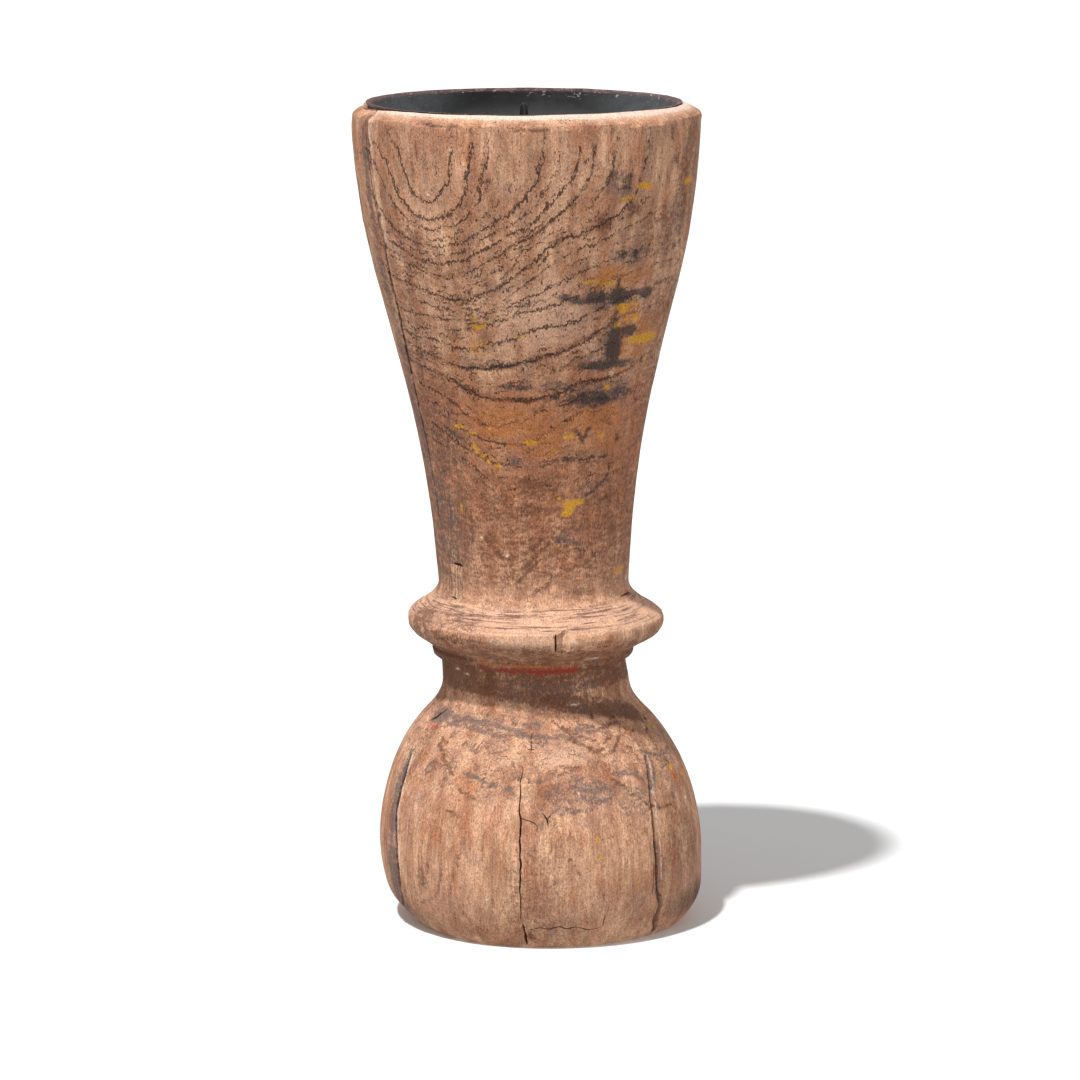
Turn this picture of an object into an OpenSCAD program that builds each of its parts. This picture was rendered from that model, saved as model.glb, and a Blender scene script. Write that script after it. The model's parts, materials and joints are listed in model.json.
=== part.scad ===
// Turned wooden candlestick with an iron drip dish and a pricket spike.
// Row frame: millimetres, +Z up, origin at the centre of the foot's flat underside.
// -Y is the front. Azimuths are measured from the front, positive towards +X.

/* [Turned body] */
// Height of the wood, from the foot to the rim around the dish
body_h = 279; // [265:1:300]
// Radius at the top of the flare
flare_r = 58.6; // [57:0.1:62]
// Radius of the waist, where the flare meets the collar
waist_r = 32.2; // [31:0.1:34]
// Radius of the collar's edge
collar_r = 43.3; // [41:0.1:46]
// Radius of the neck below the collar
neck_r = 31.6; // [29:0.1:32]
// Radius of the belly at its widest
belly_r = 55; // [53:0.1:58]
// Radius of the flat that the candlestick stands on
foot_r = 46; // [43:0.5:47]
// Height of the belly's widest point
belly_z = 26; // [22:1:30]
// Height of the middle of the neck
neck_z = 87; // [86:0.5:88]
// Height of the middle of the collar's edge
collar_z = 102.5; // [102:0.5:104]
// Height of the waist
waist_z = 117; // [116:0.5:120]

/* [Drip dish] */
// Outer radius of the dish at its rim
dish_r = 52.8; // [51:0.1:53]
// Depth of the dish, from its rim to its floor
dish_depth = 20; // [18:0.5:22]
// Radius of the dish's flat floor
dish_floor_r = 20; // [19:0.5:22]
// Thickness of the sheet iron
dish_t = 1.4; // [1:0.1:1.6]
// Height of the dish's rim above the wood
dish_proud = 0.3; // [0.2:0.1:1]
// Gap between the dish's side and the recess in the wood
dish_gap = 0.4; // [0.2:0.1:0.6]

/* [Spike] */
// Height of the spike above the dish's floor
spike_h = 19.5; // [15:0.5:20]
// Radius of the spike at the dish's floor
spike_base_r = 3.2; // [2.8:0.1:3.6]
// Radius of the spike's blunt tip
spike_tip_r = 1.2; // [0.8:0.1:1.5]
// Radius of the riveted tail below the dish
spike_tail_r = 2; // [1.8:0.1:2.2]
// Outer radius of the washer under the dish
washer_r = 6; // [5:0.5:7]
// Thickness of the washer
washer_t = 1; // [0.8:0.1:1.2]

/* [Dish screws] */
// Number of screws that hold the dish
screw_count = 3; // [2:1:4]
// Radius of the circle that the screws stand on
screw_circle_r = 13; // [12.5:0.5:14]
// Length of a screw under its head
screw_l = 16; // [14:1:18]
// Radius of a screw's shank and of its thread's crest
screw_r = 1.5; // [1.4:0.1:1.6]
// Radius of a screw's round head
screw_head_r = 3; // [2.7:0.1:3.2]

/* [Hidden] */
$fn = 96;

wood_colour = [0.74, 0.56, 0.43];
iron_colour = [0.13, 0.13, 0.13];
steel_colour = [0.36, 0.35, 0.34];

// Steps along a long curve and along a short one
long_steps = 24;
short_steps = 8;

// The flare's top corner and its chamfer, down from the rim around the dish
rim_round = 0.8;
chamfer_drop = 3.2;

// Heights that follow from the dish
dish_rim_z = body_h + dish_proud;
dish_floor_z = dish_rim_z - dish_depth;
seat_z = dish_floor_z - dish_t;
// The dish's side is an arc that is tangent to its floor and meets its rim
dish_run = dish_r - dish_t - dish_floor_r;
dish_arc_r = (dish_run * dish_run + dish_depth * dish_depth) / (2 * dish_depth);

// The rivet head under the washer, and the pocket in the wood that clears both
rivet_r = spike_tail_r * 1.5;
rivet_h = 1.3;
pocket_r = washer_r + 2;
pocket_depth = washer_t + rivet_h + 0.8;

// Screw details: plain shank, threads and driving slot
screw_plain_l = 3;
screw_root_r = screw_r * 0.7;
screw_pitch = 1.3;
screw_point_l = 3;
screw_head_h = 2.1;
slot_w = 0.7;
slot_depth = 1.1;
pilot_r = (screw_r + screw_root_r) / 2;
dish_hole_r = screw_r + 0.25;

// Drying cracks: [azimuth, width, [points along the inner edge, as radius and height]]
cracks = [
    [-66, 0.8, [[40, 165], [45, 215], [52, 245], [54.5, 262], [55.5, 281]]],
    [-66, 0.8, [[45, -1], [50, 12], [51.5, 26], [49, 45], [40, 66]]],
    [-6.5, 1.0, [[47, 3], [46, 26], [44, 48], [46.5, 60]]],
    [44, 1.2, [[44, -1], [47, 14], [49, 34], [46.5, 60]]],
    [152, 1.0, [[45, -1], [46, 26], [41, 66]]],
    [118, 0.7, [[42, 190], [47, 225], [52, 262]]]
];

// Point at share t of a cubic Bezier curve with end points a, d and handles b, c
function bezier_point(a, b, c, d, t) =
    a * pow(1 - t, 3) + b * 3 * t * pow(1 - t, 2) + c * 3 * t * t * (1 - t) + d * pow(t, 3);

// Points along that curve, without its first one
function bezier(a, b, c, d, steps) =
    [for (i = [1:steps]) bezier_point(a, b, c, d, i / steps)];

// Points of the dish's side as [radius, height], offset outwards, from the floor to the height top_z
function dish_side(outwards, top_z) =
    let (radius = dish_arc_r + outwards,
         centre_z = dish_floor_z + dish_arc_r,
         end_angle = acos((centre_z - top_z) / radius))
    [for (i = [0:long_steps / 2])
        let (a = end_angle * i / (long_steps / 2))
        [dish_floor_r + radius * sin(a), centre_z - radius * cos(a)]];

// Foot and belly, up to the neck
function foot_and_belly() = concat(
    [[foot_r, 0]],
    bezier([foot_r, 0], [foot_r + 3.5, 0.5], [belly_r, belly_z - 14], [belly_r, belly_z], short_steps),
    bezier([belly_r, belly_z], [belly_r, belly_z + 14], [belly_r - 5, belly_z + 33.5],
           [neck_r + 5.1, neck_z - 14.5], long_steps),
    bezier([neck_r + 5.1, neck_z - 14.5], [neck_r + 2, neck_z - 11],
           [neck_r, neck_z - 8], [neck_r, neck_z - 3], short_steps));

// Neck bead, collar and the hollow above it
function collar() = concat(
    [[neck_r - 0.5, neck_z + 2.5],
     [neck_r - 0.5, neck_z + 3.8],
     [neck_r + 1.6, neck_z + 4.8],
     [neck_r + 2.4, neck_z + 5.9],
     [neck_r + 1.9, neck_z + 6.8],
     [neck_r + 1.3, neck_z + 7.4]],
    bezier([neck_r + 1.3, neck_z + 7.4], [collar_r - 6, collar_z - 4.6],
           [collar_r, collar_z - 3.4], [collar_r, collar_z], short_steps),
    bezier([collar_r, collar_z], [collar_r, collar_z + 4],
           [collar_r - 3, collar_z + 4.6], [waist_r + 4.5, waist_z - 7], short_steps),
    bezier([waist_r + 4.5, waist_z - 7], [waist_r + 1.9, waist_z - 4.8],
           [waist_r, waist_z - 3], [waist_r, waist_z], short_steps));

// Flare, from the waist to the rim around the dish
function flare() =
    let (top_z = body_h - chamfer_drop - rim_round,
         stretch = (top_z - waist_z) / 156.5)
    concat(
        bezier([waist_r, waist_z], [waist_r + 5.3, waist_z + 83 * stretch],
               [flare_r - 2.8, waist_z + 93 * stretch], [flare_r, top_z], long_steps),
        bezier([flare_r, top_z], [flare_r, top_z + rim_round],
               [flare_r - 0.4, top_z + rim_round], [flare_r - 1, top_z + rim_round + 0.6], 3));

// Recess for the dish, from its rim down to its flat seat
function recess() =
    let (side = dish_side(dish_t + dish_gap, body_h),
         last = len(side) - 1)
    concat(
        [for (i = [last:-1:0]) if (side[i][1] > seat_z + 0.05) side[i]],
        [[dish_floor_r + 2, seat_z]]);

module body_outline() {
    polygon(concat([[0, 0]], foot_and_belly(), collar(), flare(), recess(), [[0, seat_z]]));
}

// A slot of constant width that runs in from the surface to the given inner edge
module crack(azimuth, width, inner_edge) {
    outside_r = 70;
    last = len(inner_edge) - 1;
    outline = concat(inner_edge, [[outside_r, inner_edge[last][1]], [outside_r, inner_edge[0][1]]]);
    rotate([0, 0, azimuth - 90])
        rotate([90, 0, 0])
            linear_extrude(width, center = true)
                polygon(outline);
}

// Places its children at each screw's axis, with z = 0 on the dish's floor
module at_screws() {
    for (i = [0:screw_count - 1])
        rotate([0, 0, 180 + i * 360 / screw_count])
            translate([0, -screw_circle_r, dish_floor_z])
                children();
}

// Wood that the screws displace: a clearance length, then a pilot hole
module screw_hole() {
    translate([0, 0, -dish_t - screw_plain_l])
        cylinder(r = screw_r, h = screw_plain_l + dish_t);
    translate([0, 0, -screw_l - 0.5])
        cylinder(r = pilot_r, h = screw_l);
}

module turned_body() {
    color(wood_colour)
        difference() {
            rotate_extrude() body_outline();
            translate([0, 0, seat_z - pocket_depth])
                cylinder(r = pocket_r, h = pocket_depth + 1);
            at_screws() screw_hole();
            for (c = cracks)
                crack(c[0], c[1], c[2]);
        }
}

module dish_outline() {
    inner = dish_side(0, dish_rim_z);
    outer = dish_side(dish_t, dish_rim_z);
    last = len(outer) - 1;
    polygon(concat([[0, dish_floor_z]], inner,
                   [for (i = [last:-1:0]) outer[i]], [[0, seat_z]]));
}

module drip_dish() {
    color(iron_colour)
        difference() {
            rotate_extrude() dish_outline();
            translate([0, 0, seat_z - 1])
                cylinder(r = spike_tail_r, h = dish_t + 2);
            at_screws()
                translate([0, 0, -dish_t - 1])
                    cylinder(r = dish_hole_r, h = dish_t + 2);
        }
}

// Tapered pin with a rounded tip. Its tail passes through the dish and the washer, and is peened over
module spike_outline() {
    tip_z = dish_floor_z + spike_h;
    washer_z = seat_z - washer_t;
    polygon(concat(
        [[0, washer_z - rivet_h]],
        [for (a = [15:15:90]) [rivet_r * sin(a), washer_z - rivet_h * cos(a)]],
        [[spike_tail_r, washer_z],
         [spike_tail_r, dish_floor_z],
         [spike_base_r, dish_floor_z],
         [spike_base_r * 0.94, dish_floor_z + 1.2]],
        [for (a = [0:18:90]) [spike_tip_r * cos(a), tip_z - spike_tip_r * (1 - sin(a))]]));
}

module spike() {
    color(iron_colour)
        rotate_extrude() spike_outline();
}

module spike_washer() {
    color(steel_colour)
        translate([0, 0, seat_z - washer_t])
            difference() {
                cylinder(r = washer_r, h = washer_t);
                translate([0, 0, -1])
                    cylinder(r = spike_tail_r, h = washer_t + 2);
            }
}

// Round head, plain shank, then a ringed thread that ends in a gimlet point
module screw_outline() {
    thread_top = -dish_t - screw_plain_l;
    turns = floor((screw_l + thread_top - screw_point_l) / screw_pitch);
    polygon(concat(
        [[0, screw_head_h]],
        [for (a = [15:15:90]) [screw_head_r * sin(a), screw_head_h * cos(a)]],
        [[screw_r, 0], [screw_r, thread_top]],
        [for (i = [0:turns - 1], s = [0, 1])
            [s == 0 ? screw_root_r : screw_r, thread_top - screw_pitch * (i + 0.2 + 0.6 * s)]],
        [[screw_root_r, thread_top - screw_pitch * turns],
         [0, -screw_l]]));
}

module dish_screws() {
    color(steel_colour)
        at_screws()
            difference() {
                rotate_extrude($fn = 48) screw_outline();
                rotate([0, 0, 35])
                    translate([-screw_head_r - 1, -slot_w / 2, screw_head_h - slot_depth])
                        cube([2 * screw_head_r + 2, slot_w, slot_depth + 1]);
            }
}

turned_body();
drip_dish();
spike();
spike_washer();
dish_screws();
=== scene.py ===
"""Looks of the turned wooden candlestick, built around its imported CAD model.

Lengths in the tables and in the shape code are millimetres in the row frame, and meshes are made in metres.
An azimuth is in degrees around +Z, 0 at the front (-Y) and positive towards +X.
"""
import bmesh
import bpy
import itertools
import json
import math
import numpy as np
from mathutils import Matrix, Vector


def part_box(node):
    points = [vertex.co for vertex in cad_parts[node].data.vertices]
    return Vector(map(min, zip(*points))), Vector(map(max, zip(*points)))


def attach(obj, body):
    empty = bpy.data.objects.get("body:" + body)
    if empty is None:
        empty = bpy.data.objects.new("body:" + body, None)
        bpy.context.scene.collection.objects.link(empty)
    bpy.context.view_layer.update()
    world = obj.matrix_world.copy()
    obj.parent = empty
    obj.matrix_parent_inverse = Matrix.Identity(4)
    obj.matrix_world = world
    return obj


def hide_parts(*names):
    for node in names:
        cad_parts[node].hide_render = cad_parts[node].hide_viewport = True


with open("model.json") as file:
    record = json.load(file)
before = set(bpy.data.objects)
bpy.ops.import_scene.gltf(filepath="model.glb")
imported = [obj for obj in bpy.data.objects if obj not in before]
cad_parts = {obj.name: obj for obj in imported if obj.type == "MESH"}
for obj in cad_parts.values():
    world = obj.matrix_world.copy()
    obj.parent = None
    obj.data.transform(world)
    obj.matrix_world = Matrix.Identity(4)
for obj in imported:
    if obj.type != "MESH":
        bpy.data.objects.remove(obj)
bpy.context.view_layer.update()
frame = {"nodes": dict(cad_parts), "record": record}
record = frame["record"]
wood_node = frame["nodes"]["turned_body"]
dish_node = frame["nodes"]["drip_dish"]
spike_node = frame["nodes"]["spike"]

MM = 0.001
BODY_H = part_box("turned_body")[1].z / MM
DISH_RIM_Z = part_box("drip_dish")[1].z / MM
DISH_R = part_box("drip_dish")[1].x / MM
DISH_FLOOR_Z = next(m for m in record["mounts"] if m["name"] == "dish_floor")["pos_m"][2] / MM

# Sound wood's darkest and lightest tone, and the tones of its redder and greyer patches
TONE_LOW, TONE_HIGH = (168, 118, 90), (220, 172, 138)
TONE_RED, TONE_GREY = (184, 122, 92), (158, 130, 116)

# Azimuth at which the CAD wood has no crack, so its outline can be read there
CLEAR_AZIMUTH = 90

# Steps at which outlines are read off the CAD, and then drawn again, in millimetres
READING_STEP = 0.25
WOOD_STEP, RECESS_STEP, DISH_STEP = 1.1, 2.2, 1.2


# ---------------------------------------------------------------- helpers for shape

def heading(azimuth):
    """Unit vectors that point outwards at azimuths given in degrees."""
    a = np.radians(azimuth)
    return np.stack([np.sin(a), -np.cos(a)], -1)


def value_noise(points, seed):
    """Smooth noise from -1 to 1 at points that are given in cells."""
    cell = np.floor(points).astype(np.int64)
    part = points - cell
    part = part * part * (3 - 2 * part)
    total = np.zeros(len(points))
    for corner in itertools.product((0, 1), repeat=3):
        key = (cell + corner) @ np.array([374761393, 668265263, 2246822519]) + seed * 3266489917
        key = (key ^ (key >> 13)) & 0xFFFFFFFF
        key = (key * 1274126177) & 0xFFFFFFFF
        key ^= key >> 16
        weight = np.prod(np.where(corner, part, 1 - part), axis=1)
        total += (key / 2**31 - 1) * weight
    return total


def fractal(points, cell, seed, octaves=3):
    """Noise from about -1 to 1 at points in millimetres, with ever finer octaves below the cell size."""
    total = 0
    for octave in range(octaves):
        total = total + value_noise(points * 2**octave / cell, seed + octave) / 2**octave
    return total / 1.6


def new_object(name, vertices, faces):
    """A mesh object from vertices in millimetres."""
    mesh = bpy.data.meshes.new(name)
    mesh.from_pydata((np.asarray(vertices) * MM).tolist(), [], faces)
    mesh.update()
    made = bpy.data.objects.new(name, mesh)
    bpy.context.scene.collection.objects.link(made)
    return made


def cast(node, start, direction):
    """Where a ray in millimetres first meets a CAD node, or None."""
    found, place, _, _ = node.ray_cast(Vector(start) * MM, Vector(direction))
    return np.array(place) / MM if found else None


def resample(line, spacing):
    """The polyline's points at equal steps of about the given length."""
    line = np.asarray(line, float)
    length = np.concatenate([[0], np.cumsum(np.linalg.norm(np.diff(line, axis=0), axis=1))])
    count = max(2, int(round(length[-1] / spacing)) + 1)
    at = np.linspace(0, length[-1], count)
    return np.stack([np.interp(at, length, line[:, 0]), np.interp(at, length, line[:, 1])], -1)


def smooth_line(line, passes):
    """Rounds a polyline's corners without moving its ends."""
    line = np.array(line, float)
    for _ in range(passes):
        line[1:-1] = (line[:-2] + 2 * line[1:-1] + line[2:]) / 4
    return line


def outer_profile(node, low, high):
    """Radius and height along a turned CAD node's outside."""
    out = heading(CLEAR_AZIMUTH)
    far_r = 100
    line = []
    for z in np.arange(low + READING_STEP / 2, high, READING_STEP):
        place = cast(node, (out[0] * far_r, out[1] * far_r, z), (-out[0], -out[1], 0))
        if place is not None:
            line.append((math.hypot(place[0], place[1]), z))
    return line


def flat_profile(node, radii, start_z, way):
    """Radius and height where upright rays meet a turned CAD node. They go up with way 1 and down with -1."""
    out = heading(CLEAR_AZIMUTH)
    line = []
    for r in radii:
        place = cast(node, (out[0] * r, out[1] * r, start_z), (0, 0, way))
        if place is not None:
            line.append((r, place[2]))
    return line


def turned(name, line, azimuths, shift=None, lean=None, ring=False):
    """A closed turned mesh. Its outline starts and ends on the axis, or with ring=True closes on itself.

    shift(azimuths, radii, heights) moves points out along the outline's normal, and lean(radii, heights)
    gives the sideways offset of the axis."""
    line = np.asarray(line, float)
    tangent = np.roll(line, -1, 0) - np.roll(line, 1, 0) if ring else np.gradient(line, axis=0)
    tangent /= np.maximum(np.linalg.norm(tangent, axis=1, keepdims=True), 1e-9)
    normal = np.stack([tangent[:, 1], -tangent[:, 0]], -1)
    inner = slice(None) if ring else slice(1, -1)
    line_r, line_z = line[inner].T
    columns, rows = len(azimuths), len(line_r)
    a = np.tile(azimuths, rows)
    r = np.repeat(line_r, columns)
    z = np.repeat(line_z, columns)
    if shift is not None:
        move = shift(a, r, z)
        sides = np.repeat(normal[inner], columns, axis=0)
        r, z = r + move * sides[:, 0], z + move * sides[:, 1]
    vertices = np.column_stack([heading(a) * r[:, None], z])
    if lean is not None:
        vertices[:, 2] = np.maximum(vertices[:, 2], 0)
        vertices[:, 0] += lean(r, vertices[:, 2])
    faces = []
    for row in range(rows if ring else rows - 1):
        low, high = row * columns, (row + 1) % rows * columns
        for column in range(columns):
            following = (column + 1) % columns
            faces.append((low + column, low + following, high + following, high + column))
    if not ring:
        last = len(vertices) + 1
        vertices = np.vstack([vertices, [0, 0, line[0, 1]], [0, 0, line[-1, 1]]])
        for column in range(columns):
            following = (column + 1) % columns
            top = (rows - 1) * columns
            faces += [(last - 1, following, column), (last, top + column, top + following)]
    made = new_object(name, vertices, faces)
    fix_normals(made)
    return made


def fix_normals(obj):
    """Turns all faces of a closed mesh outwards."""
    work = bmesh.new()
    work.from_mesh(obj.data)
    bmesh.ops.recalc_face_normals(work, faces=work.faces)
    work.to_mesh(obj.data)
    work.free()


# ---------------------------------------------------------------- the wood's shape

# Dents and worn spots (negative) and swellings: [azimuth, height, half width, half height, depth]
WOOD_DENTS = [
    [-74, 1, 20, 7, -2.2], [-45, 0, 14, 2, -0.6], [76, 10, 32, 9, 1.8], [20, 0, 60, 3, 0.6],
    [-75, 103, 24, 4, -1.2], [-88, 92, 22, 7, 1.2], [96, 90, 20, 6, -0.7], [-85, 278, 24, 5, -1.2],
    [-34, 276, 4, 1.2, -0.9], [-27, 275.6, 4, 1.1, -0.8], [-2, 275.2, 5, 1.4, -0.7],
    [12.5, 103, 3.2, 2.6, -1.0], [-20, 101, 8, 2.5, -0.7],
    [38, 104, 20, 4, 0.4], [-51, 125.4, 5, 1.4, -0.7], [-18, 195, 9, 1.2, -0.5], [38, 101, 9, 1.6, -0.6],
    [150, 40, 20, 18, -0.8], [200, 262, 16, 12, -0.9], [230, 102, 14, 4, -1.0], [170, 278, 10, 4, -1.0],
]

# Hard edges of the turning, drawn out of the rounder CAD outline: [height, how far outwards, reach]
HARD_EDGES = [[100.8, 0.4, 3], [105.2, 1.0, 4], [275.8, 0.4, 1.5]]

# Chips out of those edges: [how many, height, seed]
EDGE_CHIPS = [[40, 105.2, 41], [24, 100.8, 42], [70, 275.8, 43]]

# The recess lies above this height, and it is this much wider than the dish
RECESS_LOW_Z = BODY_H - 40
RECESS_GAP = 0.4


def lean(height):
    """How far the turning's crooked axis stands to the right at a height."""
    return 0.7 + 5.6 * (1 - np.clip(height / BODY_H, 0, 1))**1.45


def wood_lean(radius, height):
    """The lean of the outside. The recess stays round the true axis, where the dish sits."""
    outside = np.clip((radius - DISH_R - RECESS_GAP) / 2, 0, 1)
    return lean(height) * np.where(height > RECESS_LOW_Z, outside, 1)


def edge_chips():
    """Small dents scattered along the hard edges."""
    for count, edge_z, seed in EDGE_CHIPS:
        dice = np.random.default_rng(seed)
        for _ in range(count):
            at, z = dice.uniform(-180, 180), edge_z + dice.uniform(-0.6, 0.6)
            yield [at, z, dice.uniform(0.8, 3.2), dice.uniform(0.6, 1.5), -dice.uniform(0.15, 0.6)]


def dents(azimuth, radius, height):
    """How far the dents, swellings and chips move the surface out."""
    move = np.zeros(len(azimuth))
    for at, z, half_w, half_h, depth in WOOD_DENTS + list(edge_chips()):
        across = np.radians((azimuth - at + 180) % 360 - 180) * radius
        share = (across / half_w)**2 + ((height - z) / half_h)**2
        move += depth * np.exp(-1.5 * share)
    return move


def hand_turned(azimuth, radius, height):
    """How far the wood stands off its true outline: shrinkage, tool waves, dents and weathering."""
    place = np.column_stack([heading(azimuth) * radius[:, None], height])
    oval = 0.35 + 0.35 * np.cos(np.radians(2 * (azimuth - 25)))
    waves = 0.3 * fractal(place * [1, 1, 0.7], 22, 11)
    weathering = 0.11 * fractal(place * [1, 1, 0.35], 3.0, 31, 2)
    outside = np.clip((radius - 25) / 8, 0, 1)
    recess = (height > RECESS_LOW_Z) & (radius < DISH_R + RECESS_GAP)
    move = (oval + waves + weathering) * np.clip(height / 2, 0, 1) + dents(azimuth, radius, height)
    return np.where(recess, 0, move * outside)


def with_hard_edges(line):
    """The outline in even steps, with a corner and a point right at each hard edge."""
    radii, heights = line.T
    radii = radii + sum(out * np.clip(1 - np.abs(heights - z) / reach, 0, 1) for z, out, reach in HARD_EDGES)
    stops = [heights[0]] + [z for z, _, _ in HARD_EDGES] + [heights[-1]]
    parts = []
    for low, high in zip(stops, stops[1:]):
        part = np.concatenate([[low], heights[(heights > low) & (heights < high)], [high]])
        parts.append(resample(np.column_stack([np.interp(part, heights, radii), part]), WOOD_STEP)[:-1])
    return np.vstack(parts + [[radii[-1], heights[-1]]])


def wood_outline():
    """The wood's outline from the middle of its underside, up its outside and down into its recess."""
    foot_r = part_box("turned_body")[1].x / MM * 0.78
    under = [(r, 0) for r in np.arange(0, foot_r, 2.5)]
    outside = outer_profile(wood_node, 0, BODY_H - 0.2)
    rim_r = outside[-1][0]
    recess = flat_profile(wood_node, np.arange(rim_r - 0.3, 0, -READING_STEP), BODY_H + 10, -1)
    outside = with_hard_edges(smooth_line(outside, 3))
    recess = resample(recess, RECESS_STEP)
    return np.vstack([under, outside, recess, [[0, recess[-1][1]]]])


# Cracks: [name, width, depth, [[azimuth, height] along the crack]]
CRACKS = [
    ["foot_crack", 0.55, 8, [[-6.6, 62.6], [-5.7, 60.8], [-6, 59], [-7, 57], [-7, 47], [-6.4, 44], [-7, 42],
        [-6.8, 30], [-7.5, 10.4]]],
    ["foot_crack_end", 0.9, 6, [[-7, 9.6], [-6.2, 5.5], [-6.1, 1]]],
    ["foot_branch", 0.3, 2, [[-7.5, 46], [-6, 44.8], [-4.8, 45.4], [-3.6, 43.9], [-2.2, 44.6], [-0.8, 43.9],
        [-0.6, 42]]],
    ["fork", 0.35, 2, [[1.2, 47.4], [2.4, 46.1], [3.3, 45.3], [3.3, 42.8]]],
    ["fork_arm", 0.35, 2, [[4.7, 46.6], [3.3, 45.2]]],
    ["star", 0.35, 2, [[-2.3, 71.3], [-3.6, 69.4], [-2.2, 67.6], [-2.9, 65.3]]],
    ["star_arm", 0.3, 1.5, [[-5, 66.2], [-3, 67], [-0.8, 66.3]]],
    ["right_crack", 1.7, 6, [[51.2, 61.4], [49.8, 57], [47.7, 52], [46.2, 47], [45.1, 37], [44.6, 32],
        [44.8, 17]]],
    ["right_crack_end", 2.6, 6, [[45.2, 17.5], [48, 12], [46.4, 9], [46.4, 6], [48.6, 4], [50, 2]]],
    ["right_check", 0.6, 2, [[43.2, 28], [42.8, 16]]],
    ["long_check", 1.0, 1.7, [[-64, 281], [-63.3, 272], [-62.5, 254], [-60.3, 236]]],
    ["long_check_low", 1.4, 4, [[-60.3, 236], [-62, 224], [-62, 212], [-65.5, 195], [-67, 178], [-66, 160]]],
    ["belly_check", 1.3, 4, [[-67.5, 60], [-65.3, 54], [-65.5, 42], [-62, 30], [-61.8, 20], [-62.5, 11]]],
    ["foot_notch", 1.8, 6, [[-78, 4.3], [-70, 5.2], [-66.6, 7.2], [-64.5, 10], [-62.5, 12.5]]],
    ["neck_slit", 1.0, 4, [[-57, 125.6], [-49, 125.2], [-46, 125]]],
    ["cone_gap", 0.7, 3, [[-58, 113.9], [-51, 113.8]]],
    ["cone_gap_right", 0.7, 3, [[60, 114], [68, 113.8], [77, 113.5]]],
    ["collar_chip", 4.6, 1.3, [[12.6, 106.8], [12.4, 103], [12.6, 99]]],
    ["collar_split", 0.8, 3, [[9.3, 106], [9.1, 103], [9.3, 99.5]]],
    ["foot_rag", 0.25, 1, [[-5, 7.2], [-1, 8.3], [3, 7.4], [6, 8.8], [9, 7.3], [13, 8.2], [17, 6.7],
        [21.5, 7.1]]],
    ["foot_tick_right", 0.3, 1.2, [[23, 12.6], [23, 7.6]]],
    ["shoulder_slit", 0.7, 2, [[-60.5, 75.5], [-65, 72.3], [-69, 70]]],
    ["back_crack", 1.0, 8, [[152, 64], [154, 45], [151, 26], [152, 12], [151, 2]]],
    ["back_check", 0.8, 6, [[118, 262], [120, 243], [117, 220], [118, 192]]],
    ["back_check_low", 0.7, 5, [[-128, 48], [-126, 30], [-127, 9]]],
    ["back_split", 0.8, 5, [[-160, 281], [-161, 262], [-159, 240], [-160, 228]]],
]


def outer_radius(height):
    """The CAD wood's radius at a height."""
    return np.interp(height, wood_profile[:, 1], wood_profile[:, 0])


def crack_cutter(name, width, depth, path, seed):
    """A wobbly wedge that stands a little out of the surface and narrows to an edge inside it."""
    path = np.array(path, float)
    radius = outer_radius(path[:, 1])
    line = np.column_stack([np.radians(path[:, 0]) * radius, path[:, 1]])
    length = np.concatenate([[0], np.cumsum(np.linalg.norm(np.diff(line, axis=0), axis=1))])
    spacing = 0.9
    count = max(5, int(length[-1] / spacing))
    at = np.linspace(0, length[-1], count)
    way = np.column_stack([np.interp(at, length, path[:, 0]), np.interp(at, length, path[:, 1])])
    azimuth, height = smooth_line(way, 3).T
    key = np.column_stack([at, np.zeros(count), np.zeros(count)])
    radius = outer_radius(height)
    # The crack wanders, tapers at both ends, and opens and closes along its way
    sway = 0.25 * fractal(key, 5, seed) + 0.2 * fractal(key, 1.6, seed + 5)
    ends = np.clip(np.sin(np.pi * np.linspace(0, 1, count)), 0, 1)**0.45
    half = width / 2 * np.maximum(ends * (1 + 0.5 * fractal(key, 3, seed + 9)), 0.08)
    deep = depth * np.maximum(ends, 0.15)
    # How far the wedge stands out of the surface
    proud = 1.5
    out = heading(azimuth)
    # The wedge widens along the surface, across its own direction
    across = np.gradient(np.radians(azimuth) * radius)
    up = np.gradient(height)
    long = np.maximum(np.hypot(across, up), 1e-6)
    side = np.column_stack([np.stack([-out[:, 1], out[:, 0]], -1) * (up / long)[:, None], -across / long])
    out = np.column_stack([out, np.zeros(count)])
    middle = out * radius[:, None] + np.column_stack([lean(height), np.zeros(count), height])
    middle += side * sway[:, None]
    spread = side * (half * (1 + proud / deep))[:, None]
    top = middle + out * proud
    rows = np.stack([top - spread, top + spread, middle - out * deep[:, None]], 1)
    faces = [(0, 1, 2), (3 * count - 1, 3 * count - 2, 3 * count - 3)]
    for i in range(count - 1):
        for j in range(3):
            a, b = 3 * i + j, 3 * i + (j + 1) % 3
            faces.append((a, a + 3, b + 3, b))
    return new_object(name, rows.reshape(-1, 3), faces)


def subtract(target, cutters):
    """Cuts the cutters out of the target, one after another, and deletes them."""
    for cutter in cutters:
        fix_normals(cutter)
        cut = target.modifiers.new(cutter.name, "BOOLEAN")
        cut.operation = "DIFFERENCE"
        cut.solver = "MANIFOLD"
        cut.object = cutter
    bpy.context.view_layer.update()
    graph = bpy.context.evaluated_depsgraph_get()
    mesh = bpy.data.meshes.new_from_object(target.evaluated_get(graph))
    target.modifiers.clear()
    target.data = mesh
    for cutter in cutters:
        bpy.data.objects.remove(cutter)


def read_profile():
    """The turned body's outside as radius and height, drawn out a little past both ends."""
    outside = outer_profile(wood_node, 0, BODY_H - 0.2)
    return np.array([[outside[0][0], -5]] + outside + [[outside[-1][0], BODY_H + 5]])


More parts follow.
